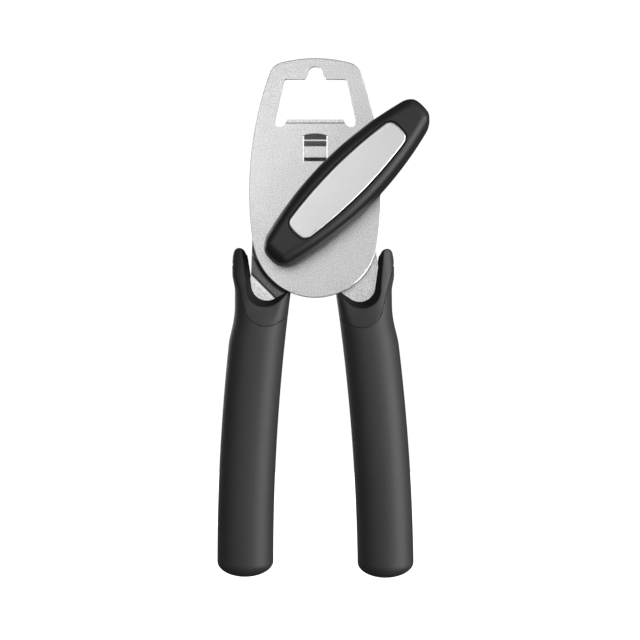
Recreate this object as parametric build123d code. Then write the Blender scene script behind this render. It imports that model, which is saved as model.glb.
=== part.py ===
from build123d import *
from math import cos, hypot, radians, sin
import os

# Manual can opener, hanging upright: +X right, +Y to the back, +Z up, in millimetres.
# Origin: top of the hanging notch, in the middle of the head plate's thickness.
# Sketches of flat parts are drawn in (x, z) and given a front and a back depth along Y.

# ---------------------------------------------------------------- head plate
PLATE_THICK = 1.5
PLATE_TOP = 3.3
PLATE_BOTTOM = -92.4
PLATE_HALF_WIDTH = 26.4
PLATE_WIDEST_Z = -50.0
PLATE_SIDE_RADIUS = 142.0
PLATE_CROWN_RADIUS = 55.0
PLATE_CORNER_RADIUS = 6.8
PLATE_EDGE_RADIUS = 0.35

WINDOW_TOP = -5.1
WINDOW_SHOULDER = -21.3
WINDOW_BOTTOM = -23.7
WINDOW_TOP_HALF = 12.4
WINDOW_BOTTOM_HALF = 16.0
WINDOW_CORNER_RADIUS = 1.2
WINDOW_EAR_DEPTH = 0.4
WINDOW_EAR_SLOPE = 1.2
NOTCH_RADIUS = 3.0
NOTCH_FLARE_HALF = 4.2

LIP_HALF_WIDTH = 12.2
LIP_TOP_HALF = 11.3
LIP_TOP = -21.0
LIP_BACK = 1.2
LIP_BEND_Z = -23.3
LIP_BEND_RISE = 0.6

TAB_SLOT_HALF = 5.0
TAB_SLOT_TOP = -26.7
TAB_SLOT_BOTTOM = -38.2
TAB_SLOT_ARCH = 0.9
TAB_HALF_WIDTH = 4.5
TAB_THICK = 1.0
TAB_STEP = 1.3
TAB_PANEL_FOOT = -36.3
TAB_PANEL_TOP = -32.4
TAB_LEDGE_BACK = 3.4
TAB_LEDGE_FOOT = -29.5
TAB_LEDGE_TOP = -28.9
TAB_REACH = 7.0
TAB_TIP = -25.8
TAB_TIP_RADIUS = 1.5

# ---------------------------------------------------------------- mechanism places and sizes
SHAFT_X, SHAFT_Z = 12.4, -47.7
CUTTER_X, CUTTER_Z = -1.7, -53.8
ECCENTRICITY = 3.5
ECCENTRIC_ANGLE = 53.1
OPEN_ANGLE = 60.0
HUB_X = SHAFT_X + ECCENTRICITY * cos(radians(ECCENTRIC_ANGLE))
HUB_Z = SHAFT_Z + ECCENTRICITY * sin(radians(ECCENTRIC_ANGLE))

RUNNING_CLEARANCE = 0.06
END_CLEARANCE = 0.10
HUB_FLOAT = 0.6
SIDE_CLEARANCE = 0.25

BUSH_RADIUS = 8.0
BUSH_SHOULDER = 1.5
RING_WIDTH = 2.0
RING_THICK = 1.0
LUG_ANGLE = 120.0
LUG_SPAN = 16.0
LUG_HEIGHT = 1.0
LUG_SLACK = 1.5

SHAFT_RADIUS = 3.0
DRIVE_SQUARE = 4.2
STUD_RADIUS = 2.1
SCREW_RADIUS = 1.4
SCREW_HEAD_RADIUS = 3.0
SCREW_HEAD_THICK = 1.8
SCREW_LENGTH = 6.0

FEED_RADIUS = 6.4
FEED_TOOTH_DEPTH = 0.75
FEED_TEETH = 20
FEED_THICK = 2.9
FEED_WASHER_THICK = 0.55
FEED_WASHER_WIDTH = 2.2
NUT_FLATS = 7.0
NUT_THICK = 2.3

CUTTER_RADIUS = 9.8
CUTTER_THICK = 1.2
CUTTER_BEVEL = 1.8
CUTTER_EDGE = 0.2
AXLE_RADIUS = 2.2
AXLE_ROOT_RADIUS = 2.5
AXLE_HEAD_RADIUS = 3.6
AXLE_HEAD_THICK = 1.4
BUSHING_WALL = 1.0
COLLAR_RADIUS = 4.5
CUTTER_WASHER_THICK = 0.35

RIVET_RADIUS = 1.8
RIVET_HEAD_RADIUS = 2.7
RIVET_HEAD_THICK = 0.8
RIVET_X, RIVET_Z = -5.0, -64.2
RIVET_PITCH = 11.3
RIVET_ANGLE = 225.0

# ---------------------------------------------------------------- steel arms
ARM_THICK = 2.0
ARM_GAP = SIDE_CLEARANCE
ARM_RING_WIDTH = 3.0
ARM_BOSS_RADIUS = 7.0
ARM_BOSS_TANGENT = 36.87
LEFT_ARM_INSET = 0.6
LEFT_ARM_DRAW = 0.7
LEFT_ARM_RISE = 5.0
RIGHT_ARM_OUTSET = 1.0
RIGHT_ARM_DRAW = 1.6
RIGHT_ARM_RISE = 2.5
ARM_RING_LAP = 0.5
ARM_WEB_START = 9.5
ARM_WEB_DROP = 6.0
ARM_WEB_SHOULDER = 3.0
FOLD_ANGLE = 225.0
FOLD_START = 71.0
FOLD_RUN = 5.7
TANG_WALL = 3.0
TANG_EDGE_WALL = 1.7
TANG_END = -150.0
ARM_COVER = 1.0
ARM_EMBED = 1.5

# ---------------------------------------------------------------- handle grips
GRIP_HALF_WIDTH = 11.3
GRIP_HALF_DEPTH = 9.5
GRIP_LOW_X = 28.2
GRIP_LOW_Z = -198.4
GRIP_SWEEP = 7.4
GRIP_DOME = 6.2
GRIP_LEAN = 0.9
LEAN_PIVOT_X, LEAN_PIVOT_Z = 53.0, -190.0
WAIST_X = 32.5
WAIST_TOP = -89.5
WAIST_BOTTOM = -94.5
WAIST_FADE = -111.0
WAIST_DEPTH = 8.6
HORN_X = 33.6
HORN_Z = -82.0
HORN_DEPTH = 7.2
HORN_TOP = -72.3
HORN_TIP_RADIUS = 2.9
GRIP_STEP_LOW = 14.0
GRIP_STEP_HIGH = 3.0
YOKE_X, YOKE_Z = 19.5, -87.2
YOKE_RADIUS = 5.8
YOKE_DRAFT = 17.0
YOKE_INNER_TOP = -90.6
YOKE_WALL_X = 26.6
YOKE_FLARE = 1.6
YOKE_LEDGE = 4.6
SEAM_X, SEAM_Z = 19.7, -95.3
SEAM_RADIUS = 8.5
SEAM_LEAN = 16.0
SEAM_INNER_LEAN = 60.0
SKIN_THICK = 2.3
CORE_END_GAP = 1.5
CORE_LAP = 1.0

# ---------------------------------------------------------------- turning knob
KNOB_ANGLE = 45.0
KNOB_LENGTH = 85.0
KNOB_HALF_WIDTH = 12.7
KNOB_BOW = 6.3
KNOB_END_RADIUS = 16.0
KNOB_CORNER_RADIUS = 5.0
KNOB_FRONT = -19.0
KNOB_REAR = -7.0
KNOB_DRAFT = 7.0
KNOB_FRONT_FILLET = 3.2
KNOB_REAR_FILLET = 1.0
KNOB_WALL = 2.6
KNOB_FACE = 3.0
KNOB_HUB_RADIUS = 6.5
SPRING_INSET = 1.0
SPRING_THICK = 0.3
SPRING_SEAT = 0.02
INLAY_LENGTH = 56.6
INLAY_HALF_WIDTH = 6.9
INLAY_BOW = 2.3
INLAY_END_RADIUS = 10.0
INLAY_CORNER_RADIUS = 3.0
INLAY_THICK = 1.4
INLAY_PROUD = 0.25
INLAY_BEVEL = 0.5

# ---------------------------------------------------------------- depths that follow
PLATE_FRONT = -PLATE_THICK / 2
PLATE_BACK = PLATE_THICK / 2
ARM_FRONT = PLATE_BACK + ARM_THICK + ARM_GAP
ARM_BACK = ARM_FRONT + ARM_THICK
ARM_MIDDLE = (ARM_FRONT + ARM_BACK) / 2
SHOULDER_FRONT = PLATE_BACK + END_CLEARANCE
RING_BACK = PLATE_FRONT - END_CLEARANCE
RING_FRONT = RING_BACK - RING_THICK
HUB_REAR = RING_FRONT - HUB_FLOAT
WASHER_FRONT = ARM_BACK + END_CLEARANCE
FEED_FRONT = WASHER_FRONT + FEED_WASHER_THICK
FEED_BACK = FEED_FRONT + FEED_THICK
CUTTER_FRONT = FEED_BACK + SIDE_CLEARANCE
CUTTER_BACK = CUTTER_FRONT + CUTTER_THICK
BUSHING_BACK = CUTTER_BACK + 2 * END_CLEARANCE
AXLE_HEAD_FRONT = BUSHING_BACK + CUTTER_WASHER_THICK + END_CLEARANCE
KNOB_CORE_FRONT = KNOB_FRONT + KNOB_FACE
SCREW_HEAD_BACK = KNOB_CORE_FRONT + SCREW_HEAD_THICK + END_CLEARANCE
GRIP_BEND_RADIUS = (YOKE_Z - GRIP_LOW_Z) ** 2 / (2 * GRIP_SWEEP)
TANG_HALF_WIDTH = GRIP_HALF_WIDTH - SKIN_THICK - TANG_WALL
KNOB_SIDE_RADIUS = (KNOB_LENGTH**2 / 4 + KNOB_BOW**2) / (2 * KNOB_BOW)
INLAY_SIDE_RADIUS = (INLAY_LENGTH**2 / 4 + INLAY_BOW**2) / (2 * INLAY_BOW)
HUB_OFFSET = (HUB_X, HUB_Z)
SHAFT_AT = (SHAFT_X, SHAFT_Z)
CUTTER_AT = (CUTTER_X, CUTTER_Z)
FAR = 260.0


# ---------------------------------------------------------------- helpers
def slab(sketch, front, back):
    """Solid between two depths, from a sketch drawn in (x, z)."""
    plane = Plane(origin=(0, front, 0), x_dir=(1, 0, 0), z_dir=(0, -1, 0))
    return extrude(plane * sketch, amount=-(back - front))


def disc(centre, radius, front, back):
    """Round solid about a centre (x, z) between two depths."""
    return slab(Pos(*centre) * Circle(radius), front, back)


def turned(centre, points):
    """Solid turned about the depth axis through centre, from a profile of (radius, depth) points."""
    plane = Plane(origin=(centre[0], 0, centre[1]), x_dir=(1, 0, 0), z_dir=(0, 0, 1))
    face = make_face(Polyline(*points, close=True))
    return revolve(plane * face, axis=Axis((centre[0], 0, centre[1]), (0, 1, 0)))


def outline(*points):
    """Closed straight-sided sketch."""
    return make_face(Polyline(*points, close=True))


def bent_strip(path, thickness):
    """Sketch of a strip of even thickness that follows a path, mitred at its bends."""
    normals = []
    for (ax, ay), (bx, by) in zip(path, path[1:]):
        length = hypot(bx - ax, by - ay)
        normals.append((-(by - ay) / length, (bx - ax) / length))
    sides = []
    for index, (px, py) in enumerate(path):
        before = normals[max(index - 1, 0)]
        after = normals[min(index, len(normals) - 1)]
        scale = thickness / 2 / (1 + before[0] * after[0] + before[1] * after[1])
        shift = ((before[0] + after[0]) * scale, (before[1] + after[1]) * scale)
        sides.append(((px + shift[0], py + shift[1]), (px - shift[0], py - shift[1])))
    left = [side[0] for side in sides]
    right = [side[1] for side in sides]
    return outline(*left, *reversed(right))


def sector(centre, inner, outer, start, span):
    """Part of a ring between two angles in degrees."""
    wide = CenterArc(centre, outer, start, span)
    narrow = CenterArc(centre, inner, start, span)
    return make_face([wide, narrow, Line(wide @ 0, narrow @ 0), Line(wide @ 1, narrow @ 1)])


def bowed_bar(length, half_width, side_radius, end_radius, corner_radius):
    """Long bar outline with bowed sides, bowed ends and round corners, centred on (0, 0)."""
    side = side_radius - half_width
    end = length / 2 - end_radius
    shape = Pos(0, side) * Circle(side_radius) & Pos(0, -side) * Circle(side_radius)
    shape &= Rectangle(length, 4 * half_width)
    for turn in (0, 180):
        cap = Pos(end, 0) * Circle(end_radius) + Pos(end - FAR / 2, 0) * Rectangle(FAR, FAR)
        shape &= Rot(0, 0, turn) * cap
    return fillet(shape.vertices(), corner_radius)


def on_knob(sketch):
    """Sketch moved to the knob's place and angle."""
    return Pos(*SHAFT_AT) * Rot(0, 0, KNOB_ANGLE) * sketch


# ---------------------------------------------------------------- head plate
def plate_outline():
    """Egg-shaped plate: bowed crown, bowed sides and a round lower end tangent to the sides."""
    drop = PLATE_BOTTOM - PLATE_WIDEST_Z
    side = PLATE_SIDE_RADIUS - PLATE_HALF_WIDTH
    low = (PLATE_SIDE_RADIUS**2 - side**2 - drop**2) / (2 * (PLATE_SIDE_RADIUS + drop))
    low_z = PLATE_BOTTOM + low
    hip_z = low_z + (low_z - PLATE_WIDEST_Z) * low / (PLATE_SIDE_RADIUS - low)
    body = Pos(-side, PLATE_WIDEST_Z) * Circle(PLATE_SIDE_RADIUS)
    body &= Pos(side, PLATE_WIDEST_Z) * Circle(PLATE_SIDE_RADIUS)
    body &= Pos(0, PLATE_TOP - PLATE_CROWN_RADIUS) * Circle(PLATE_CROWN_RADIUS)
    body &= Pos(0, hip_z + FAR / 2) * Rectangle(FAR, FAR)
    body = fillet(body.vertices().sort_by(Axis.Y)[-2:], PLATE_CORNER_RADIUS)
    return body + (Pos(0, low_z) * Circle(low) & Pos(0, hip_z - FAR / 2) * Rectangle(FAR, FAR))


def window():
    """Bottle-cap window with a hanging notch in its top edge and an ear beside each end of the lip."""
    ear_bottom = WINDOW_BOTTOM - WINDOW_EAR_DEPTH
    ear_inner = LIP_HALF_WIDTH + WINDOW_EAR_SLOPE
    opening = outline(
        (-WINDOW_TOP_HALF, WINDOW_TOP),
        (WINDOW_TOP_HALF, WINDOW_TOP),
        (WINDOW_BOTTOM_HALF, WINDOW_SHOULDER),
        (WINDOW_BOTTOM_HALF, ear_bottom),
        (ear_inner, ear_bottom),
        (LIP_HALF_WIDTH, LIP_BEND_Z),
        (-LIP_HALF_WIDTH, LIP_BEND_Z),
        (-ear_inner, ear_bottom),
        (-WINDOW_BOTTOM_HALF, ear_bottom),
        (-WINDOW_BOTTOM_HALF, WINDOW_SHOULDER),
    )
    ear_start = (LIP_HALF_WIDTH + ear_inner) / 2
    corners = opening.vertices()
    rounded = [corner for corner in corners if abs(corner.X) > ear_start or corner.Y > WINDOW_SHOULDER]
    opening = fillet(rounded, WINDOW_CORNER_RADIUS)
    flare = outline(
        (-NOTCH_RADIUS, -NOTCH_RADIUS),
        (NOTCH_RADIUS, -NOTCH_RADIUS),
        (NOTCH_FLARE_HALF, WINDOW_TOP),
        (NOTCH_FLARE_HALF, WINDOW_TOP - 1),
        (-NOTCH_FLARE_HALF, WINDOW_TOP - 1),
        (-NOTCH_FLARE_HALF, WINDOW_TOP),
    )
    return opening + Pos(0, -NOTCH_RADIUS) * Circle(NOTCH_RADIUS) + flare


def tab_slot():
    """Slot with an arched top that the guide tab is pressed out of."""
    shoulder = TAB_SLOT_TOP - TAB_SLOT_ARCH
    arch = ThreePointArc((-TAB_SLOT_HALF, shoulder), (0, TAB_SLOT_TOP), (TAB_SLOT_HALF, shoulder))
    base = Polyline(
        (TAB_SLOT_HALF, shoulder),
        (TAB_SLOT_HALF, TAB_SLOT_BOTTOM),
        (-TAB_SLOT_HALF, TAB_SLOT_BOTTOM),
        (-TAB_SLOT_HALF, shoulder),
    )
    return make_face([arch, *base.edges()])


def lip():
    """Bottle-cap lip, stepped back from the plate along the window's lower edge."""
    path = [
        (0, LIP_BEND_Z - LIP_BACK),
        (0, LIP_BEND_Z),
        (LIP_BACK, LIP_BEND_Z + LIP_BEND_RISE),
        (LIP_BACK, LIP_TOP),
    ]
    blank = outline(
        (-LIP_HALF_WIDTH, LIP_BEND_Z - LIP_BACK),
        (LIP_HALF_WIDTH, LIP_BEND_Z - LIP_BACK),
        (LIP_HALF_WIDTH, LIP_BEND_Z),
        (LIP_TOP_HALF, LIP_TOP),
        (-LIP_TOP_HALF, LIP_TOP),
        (-LIP_HALF_WIDTH, LIP_BEND_Z),
    )
    strip = extrude(Plane.YZ * bent_strip(path, PLATE_THICK), amount=LIP_HALF_WIDTH, both=True)
    return strip & slab(blank, PLATE_FRONT - 1, LIP_BACK + PLATE_THICK)


def guide_tab():
    """Guide tab for the can's rim: a raised panel whose end slopes back behind the slot, over a ledge."""
    foot = TAB_SLOT_BOTTOM + TAB_THICK / 2
    path = [
        (0, foot - TAB_THICK),
        (0, foot),
        (-TAB_STEP, TAB_PANEL_FOOT),
        (-TAB_STEP, TAB_PANEL_TOP),
        (TAB_LEDGE_BACK, TAB_LEDGE_FOOT),
        (TAB_LEDGE_BACK, TAB_LEDGE_TOP),
        (TAB_REACH, TAB_TIP),
    ]
    strip = extrude(Plane.YZ * bent_strip(path, TAB_THICK), amount=TAB_HALF_WIDTH, both=True)
    length = TAB_TIP - TAB_SLOT_BOTTOM + 2 * TAB_THICK
    blank = Pos(0, TAB_SLOT_BOTTOM - TAB_THICK + length / 2) * Rectangle(2 * TAB_HALF_WIDTH, length)
    blank = fillet(blank.vertices().sort_by(Axis.Y)[-2:], TAB_TIP_RADIUS)
    return strip & slab(blank, -TAB_STEP - TAB_THICK, TAB_REACH + TAB_THICK)


def rivet_places():
    """Centres of the two rivets, in line on the plate's lower left."""
    step = (RIVET_PITCH * cos(radians(RIVET_ANGLE)), RIVET_PITCH * sin(radians(RIVET_ANGLE)))
    return [(RIVET_X + index * step[0], RIVET_Z + index * step[1]) for index in range(2)]


def hub_hole():
    """Hole for the eccentric bush, with the sector that its stop lug moves in."""
    start = LUG_ANGLE - LUG_SPAN / 2 - LUG_SLACK
    span = OPEN_ANGLE + LUG_SPAN + 2 * LUG_SLACK
    slot = sector(HUB_OFFSET, BUSH_RADIUS - 1, BUSH_RADIUS + LUG_HEIGHT + SIDE_CLEARANCE, start, span)
    return Pos(*HUB_OFFSET) * Circle(BUSH_RADIUS + RUNNING_CLEARANCE) + slot


def head_plate():
    """Steel plate that carries the cutter and the bush, with window, lip and guide tab."""
    sketch = plate_outline() - window() - tab_slot() - hub_hole()
    sketch -= Pos(*CUTTER_AT) * Circle(AXLE_ROOT_RADIUS)
    for place in rivet_places():
        sketch -= Pos(*place) * Circle(RIVET_RADIUS)
    plate = slab(sketch, PLATE_FRONT, PLATE_BACK)
    rim = plate.faces().sort_by(Axis.Y)[0].outer_wire().edges()
    return fillet(rim, PLATE_EDGE_RADIUS) + lip() + guide_tab()


# ---------------------------------------------------------------- arms
def grip_x(z):
    """Distance of a grip's curved centre line from the middle, at height z."""
    return GRIP_LOW_X - (z - GRIP_LOW_Z) ** 2 / (2 * GRIP_BEND_RADIUS)


def lean(shape):
    """Right side's place: leaned a little inward about a point beside the grip's low end."""
    pivot = Axis((LEAN_PIVOT_X, 0, LEAN_PIVOT_Z), (0, -1, 0))
    return shape.rotate(pivot, GRIP_LEAN)


def tang_points():
    """Outer and inner edge of the tang inside a grip, from the grip's end up to the yoke."""
    heights = (TANG_END, SEAM_Z - 2 * SEAM_RADIUS)
    outer = [(grip_x(z) + TANG_HALF_WIDTH, z) for z in heights]
    inner = [(grip_x(z) - TANG_HALF_WIDTH, z) for z in heights]
    yoke_low = YOKE_Z - YOKE_RADIUS
    outer.append((SEAM_X + SEAM_RADIUS - ARM_COVER, yoke_low))
    edge = grip_x(yoke_low - ARM_EMBED) - GRIP_HALF_WIDTH + TANG_EDGE_WALL
    inner.append((edge, yoke_low - ARM_EMBED))
    inner.append((edge, YOKE_INNER_TOP + ARM_EMBED))
    return outer, inner


def left_arm_sketch():
    """Left arm, drawn on the right side: boss at the cutter axle, web and tang."""
    outer, inner = tang_points()
    x, z = -CUTTER_X, CUTTER_Z
    side_x = PLATE_HALF_WIDTH - LEFT_ARM_INSET
    wide = ARM_BOSS_RADIUS * cos(radians(ARM_BOSS_TANGENT))
    high = ARM_BOSS_RADIUS * sin(radians(ARM_BOSS_TANGENT))
    web = outline(
        *outer,
        (side_x, HORN_Z),
        (side_x - LEFT_ARM_DRAW, HORN_TOP + LEFT_ARM_RISE),
        (x + wide, z + high),
        (x - wide, z - high),
        *reversed(inner),
    )
    return web + Pos(x, z) * Circle(ARM_BOSS_RADIUS)


def left_arm():
    """Left arm: flat behind the plate, stepped back along a fold and flat again in the grip."""
    sketch = mirror(left_arm_sketch(), about=Plane.YZ)
    sketch -= Pos(*CUTTER_AT) * Circle(AXLE_ROOT_RADIUS)
    for place in rivet_places():
        sketch -= Pos(*place) * Circle(RIVET_RADIUS)
    across = (cos(radians(FOLD_ANGLE)), sin(radians(FOLD_ANGLE)))
    fold = Plane(origin=(0, 0, 0), x_dir=(across[0], 0, across[1]), z_dir=(-across[1], 0, across[0]))
    path = [
        (-FAR, PLATE_BACK + ARM_THICK / 2),
        (FOLD_START, PLATE_BACK + ARM_THICK / 2),
        (FOLD_START + FOLD_RUN, ARM_MIDDLE),
        (FAR, ARM_MIDDLE),
    ]
    sheet = extrude(fold * bent_strip(path, ARM_THICK), amount=FAR, both=True)
    return sheet & slab(sketch, 0, ARM_BACK + 1)


def right_arm():
    """Right arm: ring pressed on the eccentric bush, web and tang, all flat."""
    outer, inner = tang_points()
    ring = BUSH_RADIUS + ARM_RING_WIDTH
    side_x = PLATE_HALF_WIDTH + RIGHT_ARM_OUTSET
    web = outline(
        *outer,
        (side_x, HORN_Z),
        (side_x - RIGHT_ARM_DRAW, HORN_TOP + RIGHT_ARM_RISE),
        (HUB_X + ring, HUB_Z - ARM_WEB_SHOULDER),
        (HUB_X, HUB_Z),
        (HUB_X - ARM_WEB_START, HUB_Z - ARM_WEB_DROP),
        *reversed(inner),
    )
    web = web - Pos(*HUB_OFFSET) * Circle(ring - ARM_RING_LAP)
    leaned = lean(slab(web, ARM_FRONT, ARM_BACK))
    arm = leaned + disc(HUB_OFFSET, ring, ARM_FRONT, ARM_BACK)
    return arm - disc(HUB_OFFSET, BUSH_RADIUS, ARM_FRONT - 1, ARM_BACK + 1)


# ---------------------------------------------------------------- grips
def blend(z, low, high, start, end):
    """Smooth change from start at height low to end at height high."""
    share = min(max((z - low) / (high - low), 0.0), 1.0)
    return start + (end - start) * share * share * (3 - 2 * share)


def grip_section(z, inset):
    """Elliptic section of a grip at height z, smaller all round by inset."""
    inner = grip_x(z) - GRIP_HALF_WIDTH
    outer = blend(z, WAIST_FADE, WAIST_BOTTOM, inner + 2 * GRIP_HALF_WIDTH, WAIST_X)
    outer = blend(z, WAIST_TOP, HORN_Z, outer, HORN_X)
    deep = blend(z, WAIST_FADE, WAIST_BOTTOM, GRIP_HALF_DEPTH, WAIST_DEPTH)
    deep = blend(z, WAIST_TOP, HORN_Z, deep, HORN_DEPTH)
    plane = Plane(origin=((outer + inner) / 2, ARM_MIDDLE, z), x_dir=(1, 0, 0), z_dir=(0, 0, 1))
    return (plane * Ellipse((outer - inner) / 2 - inset, deep - inset)).face()


def grip_solid(inset, low, high):
    """Curved elliptic bar between two heights, smaller all round by inset."""
    below = max(2, round((WAIST_FADE - low) / GRIP_STEP_LOW))
    above = max(2, round((high - WAIST_FADE) / GRIP_STEP_HIGH))
    heights = [low + (WAIST_FADE - low) * step / below for step in range(below)]
    heights += [WAIST_FADE + (high - WAIST_FADE) * step / above for step in range(above + 1)]
    return loft([grip_section(z, inset) for z in heights], ruled=True)


def grip_dome():
    """Rounded lower end of a grip."""
    ball = scale(Sphere(1), by=(GRIP_HALF_WIDTH, GRIP_HALF_DEPTH, GRIP_DOME))
    ball = Pos(GRIP_LOW_X, ARM_MIDDLE, GRIP_LOW_Z) * ball
    return ball & Pos(GRIP_LOW_X, ARM_MIDDLE, GRIP_LOW_Z - FAR / 2) * Box(FAR, FAR, FAR)


def yoke_cut(depth):
    """Open-topped hollow that the steel arm stands in, widening towards one face of the grip."""
    wall = YOKE_WALL_X - (YOKE_X + YOKE_RADIUS)
    bowl = Pos(YOKE_X, YOKE_Z) * Circle(YOKE_RADIUS)
    sides = outline(
        (YOKE_X + YOKE_RADIUS, YOKE_Z),
        (YOKE_X + YOKE_RADIUS + wall, HORN_Z),
        (YOKE_X + YOKE_RADIUS + YOKE_FLARE * wall, FAR / 8),
        (-FAR / 8, FAR / 8),
        (-FAR / 8, YOKE_INNER_TOP),
        (YOKE_X - YOKE_LEDGE, YOKE_INNER_TOP),
    )
    plane = Plane(origin=(0, ARM_MIDDLE, 0), x_dir=(1, 0, 0), z_dir=(0, -1, 0))
    if depth > 0:
        plane = Plane(origin=(0, ARM_MIDDLE, 0), x_dir=(-1, 0, 0), z_dir=(0, 1, 0))
        return extrude(plane * mirror(bowl + sides, about=Plane.YZ), amount=depth, taper=-YOKE_DRAFT)
    return extrude(plane * (bowl + sides), amount=-depth, taper=-YOKE_DRAFT)


def horn_room():
    """Everything that a grip may fill: rounds the horn's tip off in the front view."""
    tip = Pos(HORN_X - HORN_TIP_RADIUS, HORN_TOP - HORN_TIP_RADIUS) * Circle(HORN_TIP_RADIUS)
    below = Pos(0, HORN_TOP - HORN_TIP_RADIUS - FAR / 2) * Rectangle(FAR, FAR)
    return slab(tip + below, -FAR / 4, FAR / 4)


def seam_wall(angle, hand):
    """Point where a leaning wall leaves the seam's round bottom, and a point far up along it."""
    turn = radians(angle)
    start = (SEAM_X + hand * SEAM_RADIUS * cos(turn), SEAM_Z - SEAM_RADIUS * sin(turn))
    return start, (start[0] + hand * FAR / 4 * sin(turn), start[1] + FAR / 4 * cos(turn))


def seam_room():
    """Region above the seam line: the hard collar and horn of a grip."""
    bowl = Pos(SEAM_X, SEAM_Z) * Circle(SEAM_RADIUS)
    outer, outer_far = seam_wall(SEAM_LEAN, 1)
    inner, inner_far = seam_wall(SEAM_INNER_LEAN, -1)
    above = outline(outer, outer_far, (inner_far[0], outer_far[1]), inner_far, inner, (SEAM_X, SEAM_Z))
    return slab(bowl + above, -FAR / 4, FAR / 4)


def grip_pieces():
    """Hard core and soft skin of a grip, on the right side before it leans."""
    outside = (grip_solid(0, GRIP_LOW_Z, HORN_TOP + 1) + grip_dome()) & horn_room()
    outside -= yoke_cut(-FAR / 8)
    outside -= yoke_cut(FAR / 8)
    rod = grip_solid(SKIN_THICK, GRIP_LOW_Z + CORE_END_GAP, SEAM_Z - CORE_LAP)
    collar = outside & seam_room()
    core = collar + rod
    skin = outside - seam_room() - rod
    return core, skin


# ---------------------------------------------------------------- mechanism
def plate_rivets():
    """Two round-head rivets that hold the left arm to the plate."""
    group = []
    for place in rivet_places():
        shank = disc(place, RIVET_RADIUS, PLATE_FRONT, PLATE_BACK + ARM_THICK)
        front = turned(place, dome_points(RIVET_HEAD_RADIUS, PLATE_FRONT, -RIVET_HEAD_THICK))
        back = turned(place, dome_points(RIVET_HEAD_RADIUS, PLATE_BACK + ARM_THICK, RIVET_HEAD_THICK))
        group.append(shank + front + back)
    return Compound(children=group)


def dome_points(radius, seat, rise):
    """Profile of a low domed head that sits on a face at depth seat."""
    shoulder = (0.95 * radius, seat + 0.55 * rise)
    return [(0, seat), (radius, seat), shoulder, (0.55 * radius, seat + rise), (0, seat + rise)]


def cutter_axle():
    """Axle riveted through plate and left arm, with a domed head behind the cutter."""
    front = turned(CUTTER_AT, dome_points(AXLE_HEAD_RADIUS, PLATE_FRONT, -RIVET_HEAD_THICK))
    root = disc(CUTTER_AT, AXLE_ROOT_RADIUS, PLATE_FRONT, PLATE_BACK + ARM_THICK)
    journal = disc(CUTTER_AT, AXLE_RADIUS, PLATE_BACK + ARM_THICK, AXLE_HEAD_FRONT)
    head = turned(CUTTER_AT, dome_points(AXLE_HEAD_RADIUS, AXLE_HEAD_FRONT, AXLE_HEAD_THICK))
    return front + root + journal + head


def cutter_spacer():
    """Spacer tube between the left arm and the cutter."""
    bore = AXLE_RADIUS + RUNNING_CLEARANCE
    front, back = PLATE_BACK + ARM_THICK, CUTTER_FRONT - END_CLEARANCE
    points = [(bore, front), (COLLAR_RADIUS, front), (COLLAR_RADIUS, back), (bore, back)]
    return turned(CUTTER_AT, points)


def cutter_bushing():
    """Plain bearing pressed into the cutter wheel."""
    bore = AXLE_RADIUS + RUNNING_CLEARANCE
    outer = AXLE_RADIUS + BUSHING_WALL
    front, back = CUTTER_FRONT, BUSHING_BACK
    return turned(CUTTER_AT, [(bore, front), (outer, front), (outer, back), (bore, back)])


def cutter_wheel():
    """Cutting disc with a single bevel to a keen edge beside the feed wheel."""
    bore = AXLE_RADIUS + BUSHING_WALL
    points = [
        (bore, CUTTER_FRONT),
        (CUTTER_RADIUS, CUTTER_FRONT),
        (CUTTER_RADIUS, CUTTER_FRONT + CUTTER_EDGE),
        (CUTTER_RADIUS - CUTTER_BEVEL, CUTTER_BACK),
        (bore, CUTTER_BACK),
    ]
    return turned(CUTTER_AT, points)


def cutter_washer():
    """Thin washer between the cutter's bearing and the axle head."""
    bore = AXLE_RADIUS + RUNNING_CLEARANCE
    front, back = BUSHING_BACK + END_CLEARANCE, AXLE_HEAD_FRONT
    points = [(bore, front), (AXLE_HEAD_RADIUS, front), (AXLE_HEAD_RADIUS, back), (bore, back)]
    return turned(CUTTER_AT, points)


def eccentric_bush():
    """Bush that turns in the plate with the right arm and carries the shaft off centre."""
    body = disc(HUB_OFFSET, BUSH_RADIUS, RING_FRONT, ARM_BACK)
    body += disc(HUB_OFFSET, BUSH_RADIUS + BUSH_SHOULDER, SHOULDER_FRONT, ARM_FRONT)
    lug = sector(HUB_OFFSET, BUSH_RADIUS - 1, BUSH_RADIUS + LUG_HEIGHT, LUG_ANGLE - LUG_SPAN / 2, LUG_SPAN)
    body += slab(lug, PLATE_FRONT + SIDE_CLEARANCE, ARM_FRONT)
    return body - disc(SHAFT_AT, SHAFT_RADIUS + RUNNING_CLEARANCE, RING_FRONT - 1, ARM_BACK + 1)


def bush_ring():
    """Retaining ring staked on the bush's front end, over the plate."""
    ring = disc(HUB_OFFSET, BUSH_RADIUS + RING_WIDTH, RING_FRONT, RING_BACK)
    return ring - disc(HUB_OFFSET, BUSH_RADIUS, RING_FRONT - 1, RING_BACK + 1)


def drive_square():
    """Square end shape shared by the shaft, the feed wheel and the knob's socket."""
    return Pos(*SHAFT_AT) * Rot(0, 0, KNOB_ANGLE) * Rectangle(DRIVE_SQUARE, DRIVE_SQUARE)


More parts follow.
